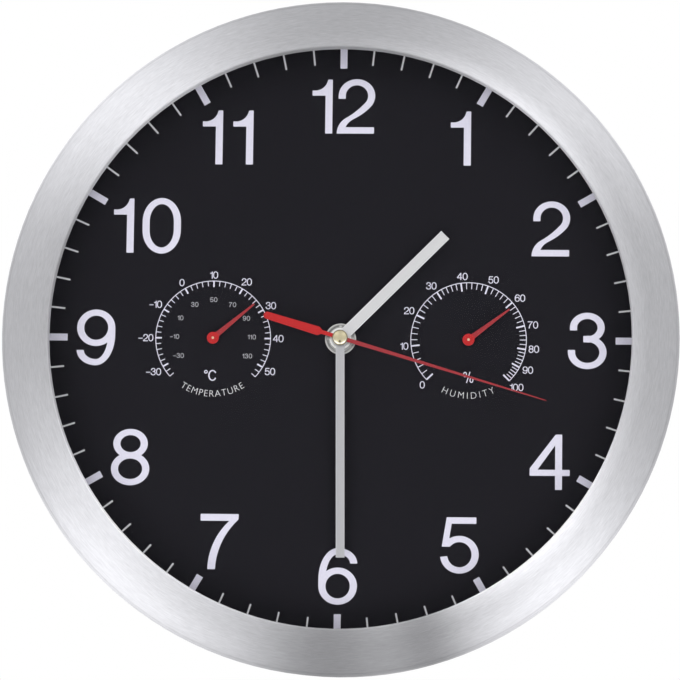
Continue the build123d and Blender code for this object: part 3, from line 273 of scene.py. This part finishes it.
def brushedRingFinish():
    finish = newFinish("brushedAluminiumPaintedSheen", ring["color"], ring["roughness"], 1.0,
                       Anisotropic=ring["anisotropy"], Anisotropic_Rotation=ring["brushTurn"])
    x, y, z, radius = around(finish)
    safe = calc(finish, "MAXIMUM", radius, ring["leastRadius"])
    right, up = calc(finish, "DIVIDE", x, safe), calc(finish, "DIVIDE", z, safe)
    streak = brushMarks(finish, right, up, y, safe, ring["streakLength"], ring["streakWidth"])
    brush = brushMarks(finish, right, up, y, safe, ring["brushLength"], ring["brushWidth"])
    cloud = grain(finish, place(finish), ring["cloudScale"], ring["cloudDetail"])
    lift = 1.0
    layers = ((streak, ring["streakDepth"]), (cloud, ring["cloudDepth"]), (brush, ring["brushDepth"]))
    for noise, depth in layers:
        lift = plus(finish, lift, between(finish, noise, -depth, depth))
    # painted shade in a thin line along the rolled outer edge
    onLine = calc(finish, "COMPARE", radius, ring["lineRadius"], ring["lineWidth"])
    paintedShadeLine = between(finish, onLine, 1.0, ring["lineShade"], 0.0, 1.0)
    # painted light on the band by the lip, brighter towards the right
    side = between(finish, right, ring["paintedLipLightLeft"], ring["paintedLipLightRight"], *ring["paintedLipLightRange"])
    paintedLipLight = between(finish, radius, side, 1.0, ring["lipEnd"], ring["lipFade"])
    # painted light on the lower part of the lip's edge and painted shade on its upper part
    level = between(finish, up, ring["lipEdgeLitBelow"], ring["lipEdgeShadedAbove"], *ring["lipEdgeRange"])
    paintedEdgeLight = between(finish, calc(finish, "LESS_THAN", radius, ring["lipEdge"]), 1.0, level, 0.0, 1.0)
    for share in (paintedShadeLine, paintedLipLight, paintedEdgeLight, paintedSheenShare(finish, right, up)):
        lift = times(finish, lift, share)
    tone = addNode(finish, "VectorMath", {0: ring["color"], "Scale": lift}, operation="SCALE")
    plug(finish, tone.outputs[0], "Base Color")
    outward = join(finish, x, 0.0, z)
    tangent = addNode(finish, "VectorMath", {0: outward, 1: (0, 1, 0)}, operation="CROSS_PRODUCT")
    unit = addNode(finish, "VectorMath", {0: tangent.outputs[0]}, operation="NORMALIZE")
    plug(finish, unit.outputs[0], "Tangent")
    bumpFrom(finish, streak, ring["bumpStrength"], ring["bumpDistance"])
    return finish


# glass
glass = {
    "color": (0.02, 0.022, 0.025), "roughness": 0.12, "cover": 0.02, "refraction": 1.5,
    "smear": 0.02, "smearScale": 25.0, "smearDetail": 4.0,
}


def glassFinish():
    finish = newFinish("clearGlass", glass["color"], glass["roughness"],
                       Alpha=glass["cover"], IOR=glass["refraction"])
    smear = grain(finish, place(finish), glass["smearScale"], glass["smearDetail"])
    low, high = glass["roughness"] - glass["smear"], glass["roughness"] + glass["smear"]
    plug(finish, between(finish, smear, low, high), "Roughness")
    return finish


# dial and its print
smallDialX = 0.057
dial = {
    "color": (0.0100, 0.0094, 0.0126), "roughness": 0.7, "specular": 0.05,
    "speckScale": 220.0, "speckDetail": 2.0, "dark": 0.95, "light": 1.06,
}
ink = {
    "figure": (0.710, 0.695, 0.812), "fine": (0.74, 0.74, 0.77), "word": (0.78, 0.78, 0.80),
    "dim": (0.44, 0.44, 0.47), "dimRadius": 0.0195, "unitTop": -0.0125,
    "roughness": 0.55, "specular": 0.2, "coverScale": 900.0, "thin": 0.93,
}


def dialFinish():
    finish = newFinish("satinBlackDial", dial["color"], dial["roughness"], Specular_IOR_Level=dial["specular"])
    speck = grain(finish, place(finish), dial["speckScale"], dial["speckDetail"])
    dark, light = shaded(dial["color"], dial["dark"]), shaded(dial["color"], dial["light"])
    plug(finish, mottled(finish, speck, dark, light), "Base Color")
    return finish


# the inner figures of a scale whose middle is given are dimmer, down to the sign of its unit
def inkFinish(name, color="figure", middleX=None):
    finish = newFinish(name, ink[color], ink["roughness"], Specular_IOR_Level=ink["specular"])
    coverage = grain(finish, place(finish), ink["coverScale"])
    tone = mottled(finish, coverage, shaded(ink[color], ink["thin"]), ink[color])
    if middleX is not None:
        z, radius = around(finish, middleX)[2:]
        inner = times(finish, calc(finish, "LESS_THAN", radius, ink["dimRadius"]),
                      calc(finish, "GREATER_THAN", z, ink["unitTop"]))
        tone = blendColors(finish, inner, tone, ink["dim"])
    plug(finish, tone, "Base Color")
    return finish


# hands
hands = {
    "hour": ((0.655, 0.655, 0.668), 44.8, 0.00253),  # color, clock angle, half the width
    "minute": ((0.47, 0.47, 0.49), 179.3, 0.00193),
    "roughness": 0.38, "metallic": 0.85,
    "streakWidth": 5000.0, "streakLength": 90.0, "dark": 0.94, "light": 1.05,
    # the edge entries paint a highlight along both edges of a hand
    "edgeWidth": 0.00035, "edgeHighlight": 1.3, "edgeHighlightMix": 0.6, "bumpStrength": 0.1, "bumpDistance": 0.00001,
}
reds = {
    "front": (0.305, 0.030, 0.038), "tail": (0.45, 0.017, 0.019), "drift": (0.5, 0.05, 0.05),
    "driftScale": 700.0, "driftDetail": 2.0, "driftMix": 0.1,
    "roughness": 0.4, "specular": 0.2, "secondTurn": 106.6, "pointerHub": 0.0028,
}


def handFinish(name, color, turn, halfWidth):
    finish = newFinish(name, color, hands["roughness"], hands["metallic"])
    x, y, z = axesOf(finish)
    along = times(finish, lengthwise(finish, x, z, turn), hands["streakLength"])
    across = lengthwise(finish, x, z, turn + 90)
    streak = grain(finish, join(finish, times(finish, across, hands["streakWidth"]), along, y), 1.0)
    tone = mottled(finish, streak, shaded(color, hands["dark"]), shaded(color, hands["light"]))
    # painted highlight along both edges of the hand
    paintedEdgeLight = calc(finish, "GREATER_THAN", calc(finish, "ABSOLUTE", across), halfWidth - hands["edgeWidth"])
    bright = shaded(color, hands["edgeHighlight"])
    plug(finish, blendColors(finish, times(finish, paintedEdgeLight, hands["edgeHighlightMix"]), tone, bright), "Base Color")
    bumpFrom(finish, streak, hands["bumpStrength"], hands["bumpDistance"])
    return finish


# the second hand is brighter on its tail, and a pointer on its hub
def redFinish(name, turn=None, middleX=0.0):
    finish = newFinish(name, reds["front"], reds["roughness"], Specular_IOR_Level=reds["specular"])
    drift = grain(finish, place(finish), reds["driftScale"], reds["driftDetail"])
    tone = blendColors(finish, between(finish, drift, 0.0, reds["driftMix"]), reds["front"], reds["drift"])
    if turn is not None:
        axes = axesOf(finish)
        bright = calc(finish, "LESS_THAN", lengthwise(finish, axes["X"], axes["Z"], turn), 0.0)
    else:
        bright = calc(finish, "LESS_THAN", around(finish, middleX)[3], reds["pointerHub"])
    plug(finish, blendColors(finish, bright, tone, reds["tail"]), "Base Color")
    return finish


# turned metal, the hub and the cap
turned = {
    "ringScale": 4200.0, "ringDetail": 3.0, "ringRoughness": 0.7, "bumpStrength": 0.15, "bumpDistance": 0.00002,
}
hub = {
    "washer": [(0.0, 0.30), (0.00625, 0.48), (0.0066, 0.62)],  # from this radius out, this grey: steps of painted highlight and painted shade on the washer's and nut's edges and gaps
    "nut": [(0.0, 0.50), (0.0040, 0.84), (0.0049, 0.32), (0.0053, 0.56)],
    "roughness": 0.3, "warmth": (1.0, 0.995, 0.975), "depth": 0.15,
}
cap = {
    "face": (0.56, 0.50, 0.33), "rim": (0.20, 0.17, 0.09),
    # the bright crescent and the dark spot are painted reflections on the dome, and the dark rim is painted shade
    # on its edge
    "crescentHighlight": (0.96, 0.93, 0.82), "darkReflection": (0.16, 0.14, 0.08),
    "roughness": 0.36, "metallic": 0.7, "ringScale": 2600.0, "ringDetail": 2.0, "dark": 0.88,
    "rimRadius": 0.0030, "crescentRise": 0.0006, "crescentStart": 0.0028, "crescentEnd": 0.0034,
    "darkReflectionDrop": 0.0018, "darkReflectionCore": 0.00035, "darkReflectionRadius": 0.0007,
}


def turnedFinish(name, color, roughness, middleX=0.0, depth=0.18):
    finish = newFinish(name, color, roughness, 1.0)
    radius = around(finish, middleX)[3]
    vector = join(finish, times(finish, radius, turned["ringScale"]), 0.0, 0.0)
    rings = grain(finish, vector, 1.0, turned["ringDetail"], turned["ringRoughness"])
    plug(finish, mottled(finish, rings, shaded(color, 1 - depth), shaded(color, 1 + depth)), "Base Color")
    bumpFrom(finish, rings, turned["bumpStrength"], turned["bumpDistance"])
    return finish


# steps of grey by radius paint the highlights on the edges and the shade in the gaps between washer and nut
def paintedLitRingsFinish(name, steps):
    finish = turnedFinish(name, shaded(hub["warmth"], steps[0][1]), hub["roughness"], depth=hub["depth"])
    radius = around(finish)[3]
    tone = shaderOf(finish).inputs["Base Color"].links[0].from_socket
    for reach, grey in steps[1:]:
        outside = calc(finish, "GREATER_THAN", radius, reach)
        tone = blendColors(finish, outside, tone, shaded(hub["warmth"], grey))
    plug(finish, tone, "Base Color")
    return finish


def capFinish():
    finish = newFinish("gildedCap", cap["face"], cap["roughness"], cap["metallic"])
    radius = around(finish)[3]
    vector = join(finish, times(finish, radius, cap["ringScale"]), 0.0, 0.0)
    rings = grain(finish, vector, 1.0, cap["ringDetail"])
    tone = mottled(finish, rings, shaded(cap["face"], cap["dark"]), cap["face"])
    # painted reflection: a bright crescent low on the dome
    fromAbove = around(finish, 0.0, cap["crescentRise"])[3]
    crescentHighlight = between(finish, fromAbove, 0.0, 1.0, cap["crescentStart"], cap["crescentEnd"])
    tone = blendColors(finish, crescentHighlight, tone, cap["crescentHighlight"])
    # painted reflection: a dark spot below the dome's middle
    fromBelow = around(finish, 0.0, -cap["darkReflectionDrop"])[3]
    darkReflection = between(finish, fromBelow, 1.0, 0.0, cap["darkReflectionCore"], cap["darkReflectionRadius"])
    tone = blendColors(finish, darkReflection, tone, cap["darkReflection"])
    # painted shade around the dome's edge
    tone = blendColors(finish, calc(finish, "GREATER_THAN", radius, cap["rimRadius"]), tone, cap["rim"])
    plug(finish, tone, "Base Color")
    return finish


# plated metal and moulded plastic
plated = {
    "cloudScale": 350.0, "cloudDetail": 4.0, "dark": 0.85, "smoothest": 0.8, "roughest": 1.25,
    "pitScale": 2500.0, "pitDetail": 2.0, "bumpStrength": 0.06, "bumpDistance": 0.00002,
}
moulded = {
    "cloudScale": 40.0, "pitDetail": 2.0, "dark": 0.88, "smoothest": 0.9, "roughest": 1.15,
    "specular": 0.4, "bumpDistance": 0.00003,
}


def platedFinish(name, color, roughness):
    finish = newFinish(name, color, roughness, 1.0)
    cloud = grain(finish, place(finish), plated["cloudScale"], plated["cloudDetail"])
    plug(finish, mottled(finish, cloud, shaded(color, plated["dark"]), color), "Base Color")
    low, high = roughness * plated["smoothest"], roughness * plated["roughest"]
    plug(finish, between(finish, cloud, low, high), "Roughness")
    pits = grain(finish, place(finish), plated["pitScale"], plated["pitDetail"])
    bumpFrom(finish, pits, plated["bumpStrength"], plated["bumpDistance"])
    return finish


def mouldedFinish(name, color, roughness, pitScale=3200.0, bumpStrength=0.25):
    finish = newFinish(name, color, roughness, Specular_IOR_Level=moulded["specular"])
    pits = grain(finish, place(finish), pitScale, moulded["pitDetail"])
    cloud = grain(finish, place(finish), moulded["cloudScale"])
    plug(finish, mottled(finish, cloud, shaded(color, moulded["dark"]), color), "Base Color")
    low, high = roughness * moulded["smoothest"], roughness * moulded["roughest"]
    plug(finish, between(finish, cloud, low, high), "Roughness")
    bumpFrom(finish, pits, bumpStrength, moulded["bumpDistance"])
    return finish


# coil winding, circuit board and battery
winding = {
    "color": (0.55, 0.18, 0.07), "dark": (0.22, 0.06, 0.02), "light": (0.66, 0.24, 0.10),
    "roughness": 0.3, "metallic": 0.9, "wireScale": 1300.0, "distortion": 0.6, "detail": 1.0,
    "bumpStrength": 0.6, "bumpDistance": 0.00008,
}
board = {
    "color": (0.01, 0.11, 0.04), "first": (0.008, 0.09, 0.03, 1), "second": (0.010, 0.12, 0.04, 1),
    "lane": (0.05, 0.26, 0.08, 1), "laneScale": 260.0, "laneWidth": 0.06, "laneSoftness": 0.1,
    "roughness": 0.35,
}
battery = {
    "color": (0.02, 0.035, 0.10), "dark": (0.016, 0.028, 0.085), "light": (0.024, 0.042, 0.12),
    "copper": (0.55, 0.30, 0.13), "steel": (0.62, 0.61, 0.60), "roughness": 0.3, "bandMetallic": 0.7,
    "scuffScale": 500.0, "lowX": -0.0235, "bandX": 0.0115, "highX": 0.0235,
}


def windingFinish():
    finish = newFinish("enamelledCopper", winding["color"], winding["roughness"], winding["metallic"])
    wires = addNode(finish, "TexWave", {
        "Vector": place(finish), "Scale": winding["wireScale"], "Distortion": winding["distortion"],
        "Detail": winding["detail"],
    }, wave_type="BANDS", bands_direction="X").outputs[0]
    plug(finish, blendColors(finish, wires, winding["dark"], winding["light"]), "Base Color")
    bumpFrom(finish, wires, winding["bumpStrength"], winding["bumpDistance"])
    return finish


def boardFinish():
    finish = newFinish("greenSolderMask", board["color"], board["roughness"])
    lanes = addNode(finish, "TexBrick", {
        "Vector": place(finish), "Scale": board["laneScale"], "Mortar Size": board["laneWidth"],
        "Mortar Smooth": board["laneSoftness"], "Color1": board["first"], "Color2": board["second"],
        "Mortar": board["lane"],
    })
    plug(finish, lanes.outputs[0], "Base Color")
    return finish


def batteryFinish():
    finish = newFinish("batterySleeve", battery["color"], battery["roughness"])
    x = axesOf(finish)["X"]
    scuff = grain(finish, place(finish), battery["scuffScale"])
    tone = mottled(finish, scuff, battery["dark"], battery["light"])
    band = calc(finish, "GREATER_THAN", x, battery["bandX"])
    ends = plus(finish, calc(finish, "GREATER_THAN", x, battery["highX"]),
                calc(finish, "LESS_THAN", x, battery["lowX"]))
    tone = blendColors(finish, band, tone, battery["copper"])
    plug(finish, blendColors(finish, ends, tone, battery["steel"]), "Base Color")
    metal = plus(finish, ends, times(finish, band, battery["bandMetallic"]))
    plug(finish, calc(finish, "MINIMUM", metal, 1.0), "Metallic")
    return finish


brass, bimetal = (0.72, 0.60, 0.42), (0.62, 0.46, 0.22)
steel = platedFinish("zincPlatedSteel", (0.60, 0.60, 0.615), roughness=0.34)
blackPlastic = mouldedFinish("blackMouldedPlastic", (0.020, 0.020, 0.022), roughness=0.5)
whitePlastic = mouldedFinish("whiteMouldedPlastic", (0.74, 0.74, 0.71), roughness=0.42, pitScale=1800.0,
                             bumpStrength=0.1)
clockFinishes = {
    "bezel_frame": brushedRingFinish(),
    "front_glass": glassFinish(),
    "spacer_ring": blackPlastic,
    "dial_plate": dialFinish(),
    "hour_numerals": inkFinish("numeralInk"),
    "hour_marks": inkFinish("hourMarkInk"),
    "minute_marks": inkFinish("minuteMarkInk", "fine"),
    "thermometer_scale": inkFinish("thermometerInk", middleX=-smallDialX),
    "hygrometer_scale": inkFinish("hygrometerInk"),
    "hour_hand": handFinish("hourHandSilver", *hands["hour"]),
    "minute_hand": handFinish("minuteHandSilver", *hands["minute"]),
    "second_hand": redFinish("secondHandRed", turn=reds["secondTurn"]),
    "second_hand_cap": capFinish(),
    "threaded_bushing": turnedFinish("bushingSteel", (0.56, 0.56, 0.55), roughness=0.3, depth=0.25),
    "rubber_washer": mouldedFinish("blackRubber", (0.015, 0.015, 0.015), roughness=0.75),
    "dial_washer": paintedLitRingsFinish("washerSteel", hub["washer"]),
    "round_nut": paintedLitRingsFinish("nutSteel", hub["nut"]),
    "rotor_magnet": platedFinish("sinteredMagnet", (0.16, 0.16, 0.17), roughness=0.5),
    "movement_case": blackPlastic, "movement_front": blackPlastic, "back_cover": blackPlastic,
    "case_screws": steel, "stator": steel, "quartz_crystal": steel, "battery_contact_positive": steel,
    "battery_contact_negative": steel, "frame_screws": steel, "hanger_plate": steel, "hanger_rivets": steel,
    "coil_winding": windingFinish(),
    "circuit_board": boardFinish(),
    "circuit_chip": mouldedFinish("blackEpoxy", (0.012, 0.012, 0.012), roughness=0.22, pitScale=300.0,
                                  bumpStrength=0.1),
    "battery": batteryFinish(),
    "thermometer_coil": turnedFinish("thermometerBimetal", bimetal, roughness=0.32, middleX=-smallDialX),
    "hygrometer_coil": turnedFinish("hygrometerStrip", bimetal, roughness=0.32, middleX=smallDialX),
    "thermometer_arbor": turnedFinish("thermometerArborBrass", brass, roughness=0.28, middleX=-smallDialX),
    "hygrometer_arbor": turnedFinish("hygrometerArborBrass", brass, roughness=0.28, middleX=smallDialX),
    "thermometer_pointer": redFinish("thermometerPointerRed", middleX=-smallDialX),
    "hygrometer_pointer": redFinish("hygrometerPointerRed", middleX=smallDialX),
}
# what isn't listed, such as the gears and the cups, is white plastic
for name, part in parts.items():
    finish = clockFinishes.get(name, whitePlastic)
    for slot in part.material_slots:
        slot.material = finish
    if not part.material_slots:
        part.data.materials.append(finish)
print("finishes on", len(parts), "parts")

# words under the two small dials: text, middle, spacing of the letters
words = {
    "temperatureWord": ("TEMPERATURE", -smallDialX, 1.12),
    "humidityWord": ("HUMIDITY", smallDialX, 1.36),
}
lettering = {
    "baseline": 0.0263, "size": 0.0043, "thinning": -0.00008, "front": -0.00206, "back": -0.00200,
    "flatHalf": 0.00003, "curveSteps": 4, "weld": 0.000001,
}


# the baseline is an arc around the small dial's middle
def bendWord(piece, middleX):
    for vertex in piece.data.vertices:
        across, up, deep = vertex.co
        turn = across / lettering["baseline"]
        reach = lettering["baseline"] - up
        level = lettering["front"] if deep > 0 else lettering["back"]
        vertex.co = (middleX + reach * sin(turn), level, -reach * cos(turn))


def printWords():
    wordInk = inkFinish("wordInk", "word")
    for name, (text, middleX, spacing) in words.items():
        bpy.ops.object.select_all(action="DESELECT")
        bpy.ops.object.text_add(location=(0, 0, 0))
        piece = bpy.context.object
        piece.name = name
        piece.data.body = text
        piece.data.size = lettering["size"]
        piece.data.align_x = "CENTER"
        piece.data.space_character = spacing
        piece.data.offset = lettering["thinning"]
        piece.data.extrude = lettering["flatHalf"]
        piece.data.resolution_u = lettering["curveSteps"]
        bpy.ops.object.convert(target="MESH")
        piece = bpy.context.object
        bendWord(piece, middleX)
        bpy.ops.object.mode_set(mode="EDIT")
        bpy.ops.mesh.select_all(action="SELECT")
        bpy.ops.mesh.remove_doubles(threshold=lettering["weld"])
        bpy.ops.mesh.normals_make_consistent(inside=False)
        bpy.ops.object.mode_set(mode="OBJECT")
        piece.data.materials.clear()
        piece.data.materials.append(wordInk)
        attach(piece, "clock")


printWords()
print("words printed")
